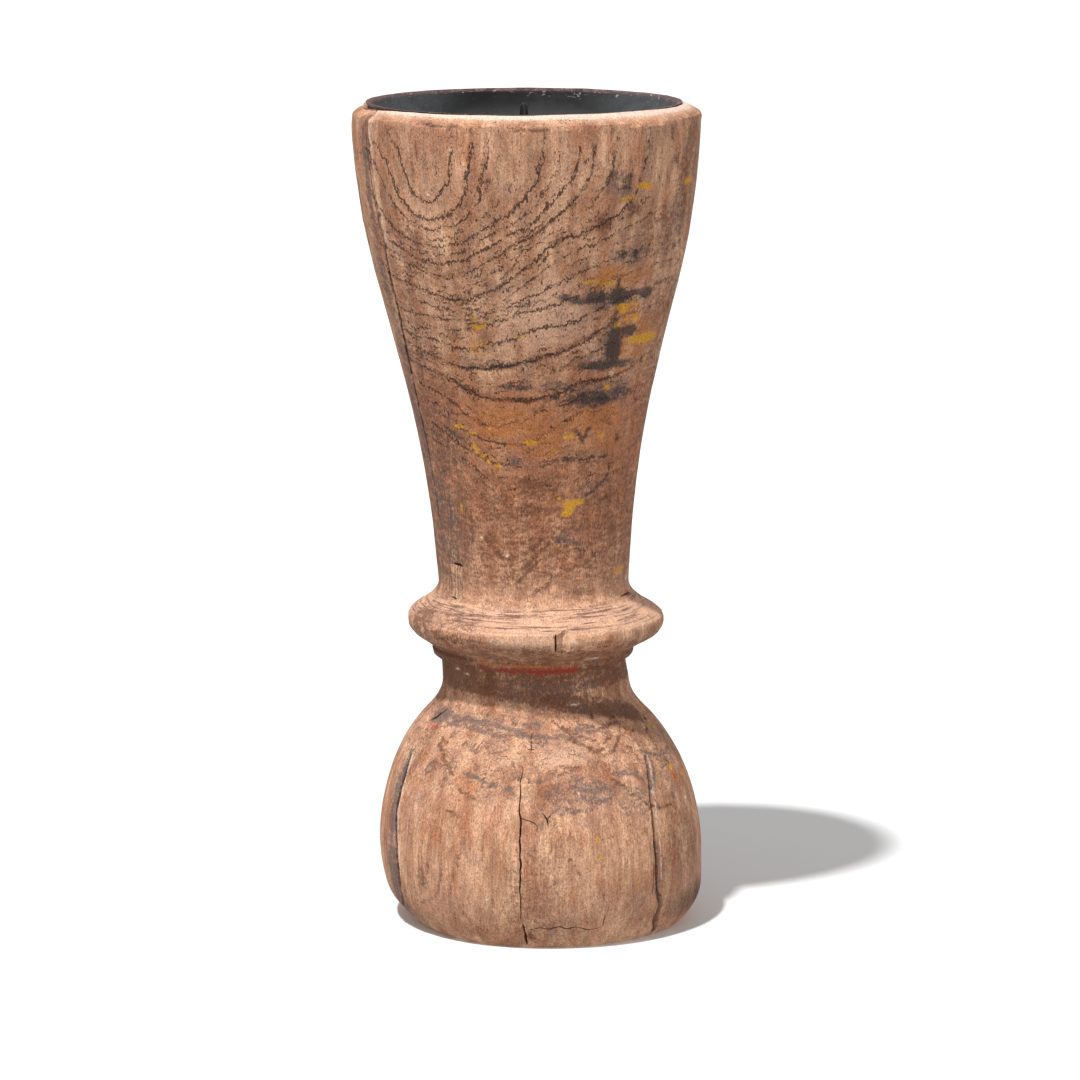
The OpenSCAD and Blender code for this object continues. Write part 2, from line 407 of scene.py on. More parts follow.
def make_wood():
    """The turned wood with its cracks cut in."""
    # Columns stand closer together round the front, where the finest marks are
    azimuths = np.concatenate([np.arange(-84, 84, 0.84), np.arange(84, 276, 2.4)])
    made = turned("turned_wood", wood_outline(), azimuths, hand_turned, wood_lean)
    subtract(made, [crack_cutter(*crack, seed=100 + 7 * i) for i, crack in enumerate(CRACKS)])
    return made


wood_profile = read_profile()
wood = make_wood()


# ---------------------------------------------------------------- grain lines round the flare

# Where a growth ring shows: [ring number, darkness, [[azimuth, height] along it]]
GRAIN = [
    [0, 1.0, [[-50, 258], [-50, 253], [-45, 249], [-42, 246.5], [-36, 244.3], [-31, 244.8], [-27, 247],
        [-23, 250.5], [-20.5, 253], [-19.7, 258], [-18.3, 263], [-17, 268], [-17, 275]]],
    [1, 0.7, [[-56, 256], [-51, 249], [-45, 244.8], [-39, 241.8], [-33, 241.2], [-26, 242.6], [-20, 245.5],
        [-16, 250], [-15, 256], [-13.5, 264], [-11.5, 270], [-11, 275]]],
    [3, 0.9, [[-62, 248], [-54, 241], [-46, 237.5], [-38, 235.5], [-30, 235.6], [-22, 238], [-16, 241],
        [-10, 245.2], [-4, 248], [0, 252.5], [3, 257], [5, 263], [6, 272]]],
    [4, 0.5, [[-54, 238], [-44, 234], [-34, 232.6], [-24, 234], [-16, 238.3], [-8, 243], [-2, 246.5],
        [4, 252], [8, 258], [10, 265], [11, 273]]],
    [5, 0.9, [[-60, 238], [-50, 233], [-38, 230], [-26, 230.5], [-16, 234.8], [-8, 239.3], [-1, 241.3],
        [3, 245], [7, 250], [12, 255], [16, 260], [18, 267], [19, 274]]],
    [7, 0.8, [[-56, 230.5], [-46, 229], [-40, 226.8], [-33, 225], [-25, 225.4], [-17, 229.5], [-10, 234],
        [-3, 237.6], [4, 241.5], [10, 246], [16, 252], [20, 257], [21.5, 264], [23, 273]]],
    [9, 0.6, [[-50, 225], [-40, 223.3], [-30, 221.8], [-22, 222.5], [-14, 226.5], [-8, 230.7], [-2, 234],
        [4, 238.5], [12, 242.5], [19, 247], [25, 254], [29, 260], [31, 272]]],
    [11, 1.0, [[-56, 223], [-46, 221.5], [-38, 219.6], [-30, 218], [-22, 218.3], [-14, 221], [-8, 224],
        [-2, 228.3], [3, 231], [8, 237.5], [17, 240], [25, 243], [32, 246.5], [38, 252], [42, 262],
        [44, 273]]],
    [13, 0.6, [[-58, 218], [-46, 216.5], [-36, 214.8], [-26, 214.3], [-16, 215.8], [-8, 219], [0, 224],
        [8, 231], [18, 235.5], [30, 239.5], [42, 244], [56, 249], [72, 250]]],
    [15, 0.7, [[-60, 213], [-50, 212], [-38, 211], [-26, 211], [-16, 212.6], [-8, 216.5], [0, 219.6],
        [6, 221.6], [12, 225], [24, 229], [36, 233], [48, 235], [60, 234.5], [74, 234]]],
    [17, 0.8, [[-66, 212], [-60, 209], [-54, 205.8], [-46, 206.5], [-40, 207.6], [-34, 208.2], [-30, 207.3],
        [-25, 208.6], [-16, 211], [-6, 213], [4, 215.5], [16, 219], [28, 223.5], [40, 227], [52, 229],
        [64, 229], [75, 228]]],
    [19, 0.9, [[-64, 205], [-54, 204], [-46, 204.5], [-37, 203], [-30, 200.7], [-24, 200.7], [-15, 203],
        [-7, 205.3], [1, 207.3], [5, 209.3], [18, 210.2], [26, 214.6], [36, 217.5], [50, 219], [62, 220.5],
        [75, 221]]],
    [22, 1.0, [[-70, 204], [-60, 201], [-50, 198.6], [-40, 196.6], [-30, 194.5], [-20, 194.8], [-10, 196],
        [0, 197.5], [9, 200], [19, 201.8], [28, 206.5], [35, 210.5], [46, 213.3], [60, 214.8], [75, 216]]],
    [24, 0.6, [[-70, 200.5], [-58, 197.6], [-48, 195.6], [-38, 193.6], [-28, 191], [-18, 189.6], [-8, 189.5],
        [2, 191.8], [14, 196], [24, 199.5], [36, 203], [48, 205.5], [60, 207], [75, 208]]],
    [26, 1.0, [[-66, 196], [-56, 193.5], [-45, 192.6], [-38, 191], [-32, 188.5], [-28, 187], [-24, 185.3],
        [-15, 184.3], [-6, 184.2], [2, 184.4], [9, 184.8], [13, 186.5], [20, 189], [28, 190.6], [37, 191],
        [46, 192.5], [60, 197], [75, 200]]],
    [29, 0.8, [[-70, 190], [-56, 186.5], [-46, 185], [-38, 181.8], [-31, 178.8], [-26, 177], [-22, 175.3],
        [-14, 175], [-6, 176.5], [2, 179.8], [10, 182], [18, 183.6], [30, 183.4], [44, 183.6], [60, 186],
        [75, 190]]],
    [31, 0.8, [[-70, 184], [-56, 181.5], [-46, 180.4], [-41, 177.5], [-36, 174], [-30, 171.6], [-22, 170],
        [-14, 168.9], [-6, 168.2], [2, 170.6], [8, 172.2], [14, 175.4], [22, 178.8], [30, 180.4], [46, 178],
        [60, 178], [75, 181]]],
    [34, 0.8, [[-70, 176], [-56, 174], [-46, 171], [-36, 167], [-29, 166.5], [-24, 164], [-16, 161.9],
        [-8, 161.8], [2, 161.8], [14, 164.3], [22, 164], [32, 162.8], [40, 164.2], [48, 163], [60, 165],
        [75, 168]]],
    [36, 0.6, [[-70, 170], [-56, 167.5], [-44, 165.8], [-37, 163.8], [-31, 160.8], [-26, 157.5],
        [-18, 154.5], [-8, 153], [4, 153.5], [16, 156], [30, 157.5], [44, 158.5], [60, 158], [75, 160]]],
    [39, 0.4, [[-70, 160], [-50, 157], [-34, 152], [-22, 149.5], [-10, 145.5], [0, 144], [10, 144.5],
        [18, 147], [30, 150], [46, 153], [60, 151], [75, 151]]],
    [42, 0.35, [[-70, 150], [-50, 147], [-34, 142], [-22, 138], [-12, 135], [-2, 136], [8, 139.5],
        [16, 141.5], [28, 141.5], [42, 144], [58, 144], [75, 143]]],
    [45, 0.5, [[-70, 138], [-50, 137], [-34, 134.5], [-24, 132.5], [-16, 130], [-8, 130.5], [2, 133.5],
        [10, 136.8], [16, 135.4], [24, 133], [34, 130.3], [48, 129], [62, 130], [75, 131]]],
    [48, 0.35, [[-70, 128], [-50, 127], [-34, 126], [-20, 123.5], [-10, 122.5], [-2, 126], [4, 128.5],
        [12, 128], [24, 125.5], [40, 122.5], [56, 121], [75, 121]]],
    [50, 0.4, [[-70, 119], [-50, 119], [-30, 118.5], [-14, 117.5], [-2, 117.8], [4, 119.6], [11, 122.5],
        [18, 121.5], [30, 118.5], [46, 117.5], [75, 117]]],
]

# Width of one degree of azimuth in the plane where the grain lines are spread out, in millimetres
DEGREE = 0.87

# Darkness of the rings between the drawn ones
FAINT_RING = 0.25


def surface_place(obj):
    """Azimuth, radius and height of an object's vertices round the leaning axis."""
    flat = np.empty(len(obj.data.vertices) * 3)
    obj.data.vertices.foreach_get("co", flat)
    x, y, z = flat.reshape(-1, 3).T / MM
    x = x - lean(z)
    return np.degrees(np.arctan2(x, -y)), np.hypot(x, y), z


def store(obj, name, values):
    """Keeps one number per vertex for the material to read."""
    layer = obj.data.attributes.new(name, "FLOAT", "POINT")
    layer.data.foreach_set("value", np.asarray(values, np.float32))


def batches(count):
    """Slices that cover a long array bit by bit, to save memory."""
    size = 20000
    return [slice(first, first + size) for first in range(0, count, size)]


def grain_field(azimuth, radius, height):
    """Ring number and rings per millimetre over the surface, as a thin plate through the grain lines.

    The back repeats the front the other way round."""
    folded = np.where(np.abs(azimuth) > 90, np.sign(azimuth) * 180 - azimuth, azimuth)
    knots, levels = [], []
    for level, _, line in GRAIN:
        points = resample(np.array(line) * [DEGREE, 1], 7)
        knots.append(points)
        levels += [level] * len(points)
    knots = np.vstack(knots)
    count = len(knots)
    # The plate bends through every knot, a little loosely, on top of a tilted plane
    looseness = 2.0
    square = ((knots[:, None] - knots[None])**2).sum(-1)
    plate = 0.5 * square * np.log(square + 1e-9) + looseness * np.eye(count)
    edge = np.column_stack([np.ones(count), knots])
    system = np.block([[plate, edge], [edge.T, np.zeros((3, 3))]])
    solved = np.linalg.solve(system, np.concatenate([levels, np.zeros(3)]))
    weights, flat = solved[:count], solved[count:]
    places = np.column_stack([folded * DEGREE, np.maximum(height, 105)])
    ring, tightness = np.empty(len(places)), np.empty(len(places))
    for part in batches(len(places)):
        away = places[part, None] - knots[None]
        square = (away**2).sum(-1) + 1e-9
        bend = np.log(square)
        ring[part] = (0.5 * square * bend) @ weights + flat[0] + places[part] @ flat[1:]
        slope = np.einsum("ijk,ij,j->ik", away, bend + 1, weights) + flat[1:]
        tightness[part] = np.hypot(slope[:, 0] * DEGREE / (np.radians(1) * radius[part]), slope[:, 1])
    return ring, tightness


def mark_grain(obj):
    """Growth rings as masks: the ring's number, how close the rings lie, and how dark their lines are."""
    azimuth, radius, height = surface_place(obj)
    ring, tightness = grain_field(azimuth, np.maximum(radius, 20), height)
    dark = {level: darkness for level, darkness, _ in GRAIN}
    numbers = np.arange(0, 55)
    veins = np.interp(ring, numbers, [dark.get(number, FAINT_RING) for number in numbers])
    store(obj, "ring", ring)
    store(obj, "tightness", np.clip(tightness, 0.05, 3))
    # The lines are plain round the front left of the flare, and fade beyond it and at both ends
    side = np.minimum(np.abs(azimuth + 10), 360 - np.abs(azimuth + 10))
    side = np.clip((62 - side) / 16, 0, 1) + 0.8 * np.clip((side - 118) / 16, 0, 1)
    low_end = np.clip((height - 113) / 4, 0, 1) * (0.4 + 0.6 * np.clip((height - 145) / 20, 0, 1))
    ends = low_end * np.clip((279 - height) / 16, 0.25, 1)
    store(obj, "vein", veins * (0.4 + 0.6 * side) * ends)


# ---------------------------------------------------------------- paint and stains on the wood

# Marks by colour: [azimuth, height, half width, half height, strength]
MARKS = {
    "black": [
        [13.5, 219.5, 2.6, 1.4, .8], [20, 218, 5, 1.3, 1], [27, 219, 5, 2.0, 1.1], [36, 218.9, 5, 2.6, 1.2],
        [43.5, 219.6, 5, 1.1, 1], [50, 219.1, 3.6, 1.9, 1.1], [35, 223, .8, 2.6, .9],
        [48.5, 222.2, .6, 1.3, .6], [36, 233, 2, 1.3, .85], [41, 233, 1.8, 1.3, .85],
        [33.5, 233.5, 1, 1.2, .5], [44.3, 234.8, 1, .8, .7], [51, 232, .9, .7, .7], [56, 232.7, .8, .8, .6],
        [65.7, 233, 1.2, 1, .6], [29.4, 259.6, 1.5, 1.1, .85], [34.5, 255.4, 3, .8, .85],
        [36, 257.5, .6, 2.6, .8], [36.7, 251, 1, .7, .6], [29.7, 267.5, .4, 2.6, .5],
        [44, 206.6, 4, 2.0, 1.1], [37.3, 202, 3.0, 6.6, 1.15], [35, 195.4, 11, 1.6, 1.1],
        [36, 211, 1.6, 7, .7], [56.3, 195.3, 1.2, .9, .8], [69, 195, 4, 1.3, .4],
        [-4.3, 188.9, 4.6, 1.1, .85], [16.6, 188.2, 2.9, .9, .85], [12, 185, 1.6, 1, .7],
        [29, 184, 9, 3, .9], [49, 185.3, 7, 1.8, .6], [58, 181.5, 1.7, .8, .6], [46, 187.3, 3, 1.7, .5],
        [-1.2, 217.2, 2.2, 1.1, .6], [-23, 175.3, 1.4, .6, .8], [-31.5, 178.3, 2.5, .6, .6],
        [-12.7, 169, .6, .8, 1], [48, 169.3, 1.5, 2, .6], [43.7, 157, 1, 1.2, .6],
        [-67.5, 102, 5.5, 1.2, .6], [-30, 85.2, 1.1, .6, .7], [31.5, 75.5, 1, .6, .8],
        [45.3, 74.5, 1.2, .6, .6], [63.8, 68.2, 1.7, .7, .9], [71, 70.9, 2.2, .8, .7],
        [-64.5, 73, 1, .8, .8], [-72.5, 264, 2.5, .6, .6], [-72.5, 251, 2.5, .6, .5],
        [-69, 242.4, 1.2, .7, .7], [-60, 233.5, 1.2, 1, 1], [-61, 244.3, 1.5, .6, 1],
        [-62.6, 267, .9, .7, 1], [-12.4, 258.2, 1, 1, .8], [-13, 255.5, .8, 1.4, .7],
        [-19.7, 259.5, .8, 1.6, .8], [27, 274.3, 1.8, 1.3, .4], [54.5, 271.8, 1.2, 3.2, .5],
        [58, 263.5, 2.6, 2.5, .5], [48.5, 264.5, .6, 2.6, .5],
    ],
    "yellow": [
        [35.7, 251.4, 3.6, 1.1, .7], [42, 255.5, 3.8, 1.5, .75], [69.5, 254.8, 5, 1.2, .8],
        [60, 254.4, 1.2, .7, .5], [18.6, 266.3, 1.3, 1, .5], [23.7, 224.3, 3, .6, .9],
        [30.7, 223.7, 3.3, .7, .95], [18, 225.8, 1.2, .5, .6], [38, 214.8, 3, 2, 1],
        [43.6, 216, 1.5, .5, .8], [37.2, 208.9, 2, 1.6, .9], [46.8, 210.2, 1.9, 1.5, .9],
        [41, 210.5, 1.5, .7, .6], [55, 203.2, 8.5, 1.9, .95], [59.5, 195.2, 1.2, .8, .8],
        [36.7, 187.7, 1.6, 1.6, .7], [28.2, 190, .9, .5, .6], [-2, 206.5, 3, .7, .6],
        [-20.8, 212.1, 1, .6, 1], [-19.6, 209.2, 2.6, .9, 1], [-21.5, 202.5, 3, 3, .4],
        [-24, 200.8, .8, .4, .8], [-17.5, 202.8, 2, .4, .6], [-36.4, 174.4, 2, .9, 1],
        [-29.8, 171.8, 2.2, .7, .9], [-29.2, 168.3, 1.2, .5, .9], [-27.6, 166.2, 1.4, .7, .8],
        [-24.6, 164.6, 1.4, .7, .8], [-21.5, 163, .9, .8, .8], [-16.7, 161.7, 1.3, .7, 1],
        [-19.7, 174.4, .8, .4, .9], [0, 169.6, 3, .8, .9], [-3, 178.4, 1.6, .5, .5],
        [18.9, 171.4, 2.4, 1.3, .75], [36.7, 170.9, 1.6, .8, .8], [17, 176.4, 1.5, .7, .6],
        [27.8, 179.7, 1.5, .5, .6], [11.8, 166.6, 1.4, 1, .6], [22.5, 148.5, 4, 1.1, 1],
        [20.6, 146.7, 2.2, 1.5, .95], [27.5, 148.8, 1.6, .5, 1], [19, 144.9, 1.8, .9, 1],
        [15, 150.2, .5, .7, .8], [20, 152, 1.2, .5, .8], [26.5, 142.8, .8, .4, .7], [-42, 145.8, .6, 2, .7],
        [58.5, 148.5, 1, 1, .5], [61, 122.8, 5, 1.2, .6], [20.7, 38.3, 1.2, 1.6, .5], [21.5, 32, .8, .7, .7],
        [33.7, 33.2, .8, .8, .7], [32, 24, .5, 1.2, .4], [36.5, 22.5, .7, 2.3, .55],
        [66.5, 55.5, 1.8, 1.2, .8], [74, 52.6, 1.3, 1.3, .7], [73, 69, 1.5, .8, .7], [48, 69.6, 2.6, .5, .5],
    ],
    "orange": [
        [30.5, 226.7, 5, 2.8, .75], [43, 226.5, 6, 2.3, .5], [44, 213, 3.6, 3.6, .65],
        [44.3, 199.5, 3.6, 2.5, .7], [33, 191.5, 2, .9, .6], [43.5, 192.5, 3.3, .7, .75],
        [42.5, 177.3, 4.6, 2.6, .6], [8.5, 178.5, 5, 4, .45], [34.5, 172.5, 3.6, 1.4, .55],
        [57.5, 171.7, 2.4, 1, .4], [5.5, 166, 6.5, 2, .55], [-14.5, 180.4, 5.9, 1.2, .6],
        [-14.5, 174, 8.2, 2.9, .8], [-9.5, 168.6, 3, 1.3, .7], [-22.5, 169, 3.2, .5, .7],
        [10.5, 149.6, 3.4, .5, .6], [57, 150.4, 1.3, .5, .7], [66, 53, 1.8, 1.6, .9], [-48, 66, 1.6, .6, .5],
        [-66, 69.3, 5, .5, .5], [22, 196, 6, 5, .35], [62, 205, 9, 7, .4], [-12, 177, 16, 7, .62],
        [10, 172, 16, 6, .55], [32, 176, 14, 6, .58], [50, 204, 12, 8, .6], [36, 225, 12, 4, .62],
        [40, 168, 13, 4, .5], [40, 212, 6, 5, .6],
    ],
    "red": [
        [-30, 91.2, 6, .8, .55], [-15, 91.2, 8, 1, .7], [3, 91.2, 6, 1.1, .95], [16, 91.2, 6, 1.1, 1],
        [23, 91, 2, .9, .95], [62.5, 91, 2, .6, .7], [-65, 69.5, 6, .6, .7], [66.5, 52.6, 1.2, .8, .8],
        [-150, 91, 8, .8, .6], [170, 91, 8, .8, .6],
    ],
    "chalk": [
        # Chalk: the first band, all round the rim's chamfer, is partly pale worn wood and partly painted
        # highlight
        [0, 279.4, 400, 1.5, .95], [33.5, 95, 4, .7, .6], [29, 92, 1, 1, .5], [22.5, 79.3, 4.5, .5, .5],
        [40.5, 79.5, 2, .5, .6], [-16.5, 103, 3.2, 1.2, .5], [17.2, 103, 1.4, 1, .6],
        [-14.4, 131, .6, .6, 1], [-29.8, 136, .5, .6, .9], [-24.7, 268.3, .6, 1, .8],
        [-34.2, 252.7, .6, 1, .8], [-19.3, 17.6, .6, .7, 1], [29.9, 34.8, .5, .5, .9],
        [-6.5, 42.9, .5, .5, .9], [49.8, 123.7, .5, .5, .9], [69.5, 48, 1.2, .8, .5],
        [70, 44.5, 1.6, .6, .7], [74, 119, 1, .8, .8], [-66.7, 188.6, 1, 1, .9],
    ],
    "grey": [
        [33, 217, 11, 3.6, .65], [36, 202, 5, 10, .7], [36, 186, 13, 4.5, .7], [28, 197, 11, 3, .65],
        [40, 233, 8, 3, .6], [32, 256, 6, 5, .55], [8, 189, 16, 2.5, .5], [62, 240, 9, 12, .4],
        [20, 53, 10, 5, .6], [38, 48, 9, 6, .4], [-67, 256, 2, 20, .8], [-69, 220, 4, 16, .6],
        [-70, 198, 4, 14, .6], [-73, 175, 5, 20, .6], [-67.5, 45, 3.4, 16, .85], [-67, 20, 4.5, 12, .85],
        [-66, 9, 6, 6, .7], [-3, 74, 4.5, .9, .7], [9.5, 52.5, 6, 6, .5], [14.7, 57.5, 2.6, 1.5, .7],
        [4, 52.5, 1.6, 2.2, .65], [12, 47.6, 7, 1.2, .6], [22, 53.5, 1.6, .8, .65], [27.5, 44, 1, 1, .7],
        [60.3, 47.5, 1.2, 1.4, .6], [-7.5, 163, 2.7, 1.8, .6], [27, 197.6, 5.5, 2, .6],
        [18, 136.8, 4.6, 2.6, .5], [55.5, 131.2, .9, .8, .6], [71.5, 135, 1.5, 3, .5],
        [-22.7, 198, 2, 1.1, .5], [-14.6, 196.8, 4.2, 1.4, .6], [72, 273, 3, 2, .5],
        [-17.5, 60, 2.2, .7, .6], [47, 25, 1.2, 9, .45], [-60, 140, 10, 22, .5], [30, 165, 12, 2.5, .5],
        [78, 200, 6, 40, .4], [-35, 73, 14, 2.6, .55], [-62, 73, 7, 3, .8], [8, 85, 20, 3, .4],
        [12, 212, 3, 4, .3],
    ],
    # Brown: the bands round the neck and under the collar, and the tall marks down the flare's left and right
    # sides, are partly darker stain and partly painted shade
    "brown": [
        [0, 155, 6, 4, .7], [6, 153, 8, 5, .55], [-2, 146.6, 7, 2.4, .7], [-8, 154, 5, 5, .5],
        [-14, 150, 6, 3, .45], [-66, 107, 9, 4, .7], [-45, 238, 10, 8, .35], [-20.5, 148.5, 1, 2.5, .6],
        [-13, 142.6, 1.3, .8, .5], [38, 248, 3.2, 2.4, .75], [25, 243.5, 5, 3.4, .6],
        [-39.9, 262, .7, 6, .7], [-37.8, 267, .8, 5, .6], [-34.5, 265, .8, 7, .4], [30, 117.5, 6, 1.5, .6],
        [-47, 21, 2.6, 4.5, .6], [-43.5, 26, .8, 3, .6], [-13.4, 5.7, .9, 1, .6], [-4.5, 4.6, 1, 1.2, .9],
        [-42, 103, 14, 2.6, .6], [62, 30, 12, 14, .3], [34.4, 41.4, .9, .6, .8], [0, 89, 400, 5.5, .8],
        [-66, 89, 20, 8, 1.1], [-20, 87, 12, 3, .8], [15, 84, 14, 2.4, .7], [0, 97, 400, 5, .5],
        [-55, 176, 14, 30, .42], [-44, 108, 14, 4, .5], [0, 138, 400, 24, .42], [68, 256, 9, 22, .5],
        [66, 200, 10, 40, .4], [-10, 172, 24, 8, .35], [-4, 20, 10, 16, .35], [52, 240, 9, 9, .45],
        [-38, 62, 3, 5, .4],
    ],
    # Pale: the broad marks down the front middle of the flare, on the belly's top, round the collar and round
    # the rim are partly paler wood and partly painted highlight where the light falls most
    "pale": [
        [8, 213, 15, 12, .8], [-38, 262, 13, 14, .4], [16, 262, 12, 10, .45], [0, 118, 400, 3, .4],
        [10, 208, 8, 7, .7], [23.5, 203.5, 3, 4.4, .6], [-7, 210, 6, 5, .5], [10, 63.5, 9, 2.5, .9],
        [-14, 63, 6, 2, .6], [0, 109, 400, 4, .7], [0, 103, 16, 2, .85], [0, 15, 400, 11, .35],
        [10, 222, 12, 5, .5], [0, 279, 400, 1.9, 1.1], [-30, 64, 22, 3, .4], [12, 26, 12, 12, .35],
        [-28, 258, 5, 12, .35], [4, 262, 9, 12, .3], [30, 122, 12, 4, .3], [4, 68, 14, 2, .5],
        [-52, 44, 7, 12, .4],
    ],
}

# Thin lines by colour: [colour, half width, strength, [[azimuth, height] along it]]
STROKES = [
    ["brown", .5, .75, [[9, 74.7], [14.8, 71.3], [20.5, 68], [25.3, 65.1], [31, 64], [35.8, 65],
        [42.5, 68.8], [54, 69.7]]],
    ["brown", .5, .8, [[13.8, 73], [20.5, 70.5], [26.2, 68.8], [31, 67.2], [36.7, 68.8]]],
    ["grey", .5, .8, [[20.5, 72.6], [28, 70.5], [33, 71]]],
    ["grey", .9, .8, [[-59, 73.6], [-40, 73.8], [-20, 73], [-8, 72]]],
    ["grey", .8, .7, [[-55, 71.8], [-35, 71.5], [-15, 70]]],
    ["brown", .8, .9, [[-45, 61.7], [-41, 60], [-36.7, 57.3]]],
    ["brown", .7, .7, [[-50.6, 67], [-45.6, 66]]],
    ["brown", .8, .7, [[-50, 65], [-44, 62.6]]],
    ["brown", .7, .8, [[-32, 52.6], [-25, 50.7]]],
    ["brown", .7, .7, [[9, 61.4], [20, 60.5]]],
    ["grey", .8, .75, [[-32, 58.2], [-25, 57.3], [-20, 55.8], [-15, 55], [-10.5, 54.5]]],
    ["brown", .8, .7, [[-36, 45.7], [-29, 44.5]]],
    ["grey", .7, .8, [[32, 58], [36, 57.8], [41, 57.2], [45, 54.8]]],
    ["brown", .6, .85, [[30, 56.4], [35, 54], [38, 51.5], [41, 49], [45, 46.2], [49.5, 45.2], [57, 44.8]]],
    ["grey", .8, .8, [[51, 63.2], [58, 61], [62, 60.2], [75, 60.8]]],
    ["grey", .7, .7, [[54.5, 59.5], [51.6, 54], [48, 51.5]]],
    ["brown", .7, .5, [[-36.5, 29], [-37.5, 23], [-40, 17], [-44, 14], [-50, 12]]],
    ["brown", .7, .45, [[-32, 26], [-34, 17]]],
    ["brown", .7, .6, [[-30, 32], [-30, 28]]],
    ["brown", .7, .6, [[10.4, 32], [13.6, 26.4]]],
    ["brown", .7, .8, [[-27, 136], [-22, 133], [-17, 129.5]]],
    ["brown", .7, .8, [[-15, 129.5], [0, 133], [5, 136]]],
    ["brown", .7, .8, [[-14, 135], [-5, 135.3]]],
    ["brown", .7, .8, [[-10, 121], [-5, 124], [0, 127], [5, 130]]],
    ["brown", .7, .7, [[-5, 126.5], [0, 129], [8, 134.5], [12, 138], [16, 141]]],
    ["black", .7, .6, [[15, 135.5], [25, 133.2], [34, 130], [41, 130.5]]],
    ["grey", .8, .8, [[14, 136.5], [20, 135.6], [27, 134]]],
    ["black", .7, .7, [[30, 150.5], [34, 152], [39, 154.3], [43, 156.5], [44.7, 159]]],
    ["brown", .7, .8, [[41, 148.7], [45, 149.5]]],
    ["brown", .7, .7, [[0, 117.5], [3, 119], [7, 119.8], [11.5, 123.7]]],
    ["black", .7, .8, [[22.5, 173.5], [25.5, 170.5], [27, 168.7]]],
    ["black", .7, .8, [[29.5, 174], [27.5, 171.3], [26.3, 170]]],
    ["black", .6, .7, [[5, 161.2], [14, 163.6], [22, 163], [32, 161.8], [41, 164]]],
    ["black", .6, .6, [[53, 228.4], [65, 228.8]]],
    ["black", .6, .6, [[55, 221.5], [62, 222.3], [70, 223]]],
    ["black", .7, .7, [[-46, 171.5], [-40, 170.8], [-34, 169.5]]],
    ["brown", .7, .8, [[-51.5, 148], [-51.5, 138]]],
    ["brown", .7, .7, [[-35.5, 145], [-36.5, 134]]],
    ["brown", .9, .45, [[-40, 219.6], [-30, 218], [-14, 221], [-2, 228.3], [3, 231], [8, 237.5], [25, 243]]],
    ["brown", 1.0, .55, [[-30, 194.3], [-10, 196], [9, 200], [28, 206.5]]],
    ["brown", 1.2, .6, [[-45, 192.4], [-28, 187], [-15, 184.3], [9, 184.8], [20, 189], [37, 191]]],
    ["brown", .9, .45, [[-46, 229], [-33, 225], [-17, 229.5], [-3, 237.6], [10, 246], [20, 257]]],
    ["grey", 1.0, .6, [[-10, 71], [10, 70], [30, 72.5]]],
    ["brown", .5, .8, [[15, 69.2], [24, 66.6], [31, 65.4]]],
    ["brown", .5, .8, [[22, 73.8], [34, 71.6], [46, 72.8]]],
    ["grey", .7, .7, [[51.8, 61], [47, 50], [45, 40], [45, 18]]],
    ["chalk", .6, .55, [[53, 61], [49, 51], [47.2, 42], [46.8, 30], [47, 20]]],
    ["black", .5, .7, [[51, 61.4], [49.6, 57], [47.4, 52], [45.8, 47], [44.7, 37], [44.4, 17]]],
    ["chalk", .6, .6, [[-62.6, 279], [-61.9, 272], [-61.1, 254], [-59, 236]]],
    ["black", .6, .8, [[-64.8, 279], [-64.2, 262], [-63.3, 250], [-61.2, 236], [-62.6, 222]]],
    ["black", .7, .7, [[-29, 194.6], [-20, 194.8], [-10, 195.9], [0, 197.3], [9, 200]]],
    ["chalk", .7, .5, [[-60.3, 236], [-62, 224]]],
    ["black", .5, .75, [[-37, 276.4], [-31, 275.6], [-26, 275.2], [-21, 275.5]]],
    ["brown", .5, .8, [[-6, 275.4], [0, 274.8], [4, 274.4], [8, 275.2]]],
    ["pale", 1.2, .75, [[-61.6, 279], [-60.9, 272], [-60.1, 254], [-58, 236]]],
    # A wide brown line that follows the collar's cast shadow across the shoulder: partly stain and partly
    # painted shadow
    ["brown", 3.2, .92, [[-66, 85.5], [-40, 84.5], [-15, 83.5], [10, 81.5], [40, 77.5], [66, 73.5]]],
    ["black", .6, .75, [[-60.9, 236], [-62.6, 224], [-62.6, 212], [-66, 195], [-67.6, 178], [-66.6, 160],
        [-66, 140]]],
    ["black", .8, .85, [[45, 17], [47.3, 12], [46.4, 8], [47, 5], [48.6, 2]]],
    ["black", .5, .7, [[-68.2, 60], [-66, 54], [-66.2, 42], [-62.7, 30], [-62.5, 20], [-63.2, 11]]],
    ["chalk", .7, .62, [[-66, 60], [-64, 54], [-64, 42], [-60.8, 30], [-60.6, 20]]],
    ["chalk", .5, .45, [[-60, 89.5], [-46, 88]]],
    ["orange", .6, .7, [[-30, 93], [0, 93], [24, 92.8]]],
]

# Marks scattered over the sides and the back: colour, how many, and the largest half width and half height
SCATTER = [["black", 16, 4.5, 1.6], ["yellow", 18, 4, 1.2], ["orange", 14, 7, 2.6], ["grey", 18, 6, 16],
           ["brown", 20, 7, 12], ["pale", 12, 9, 7], ["chalk", 10, 0.9, 0.9]]

# Smallest half width and half height that the mesh can carry, in millimetres
LEAST_HALF = 0.55


def soft_edge(distance):
    """1 inside a mark, a half at its edge and 0 outside, for a distance in half widths."""
    share = np.clip((1.6 - distance) / 1.2, 0, 1)
    return share * share * (3 - 2 * share)


def spot(place, at, z, half_w, half_h):
    """A mark's share at each vertex."""
    azimuth, radius, height = place
    across = np.radians((azimuth - at + 180) % 360 - 180) * radius
    return soft_edge(np.hypot(across / half_w, (height - z) / half_h))


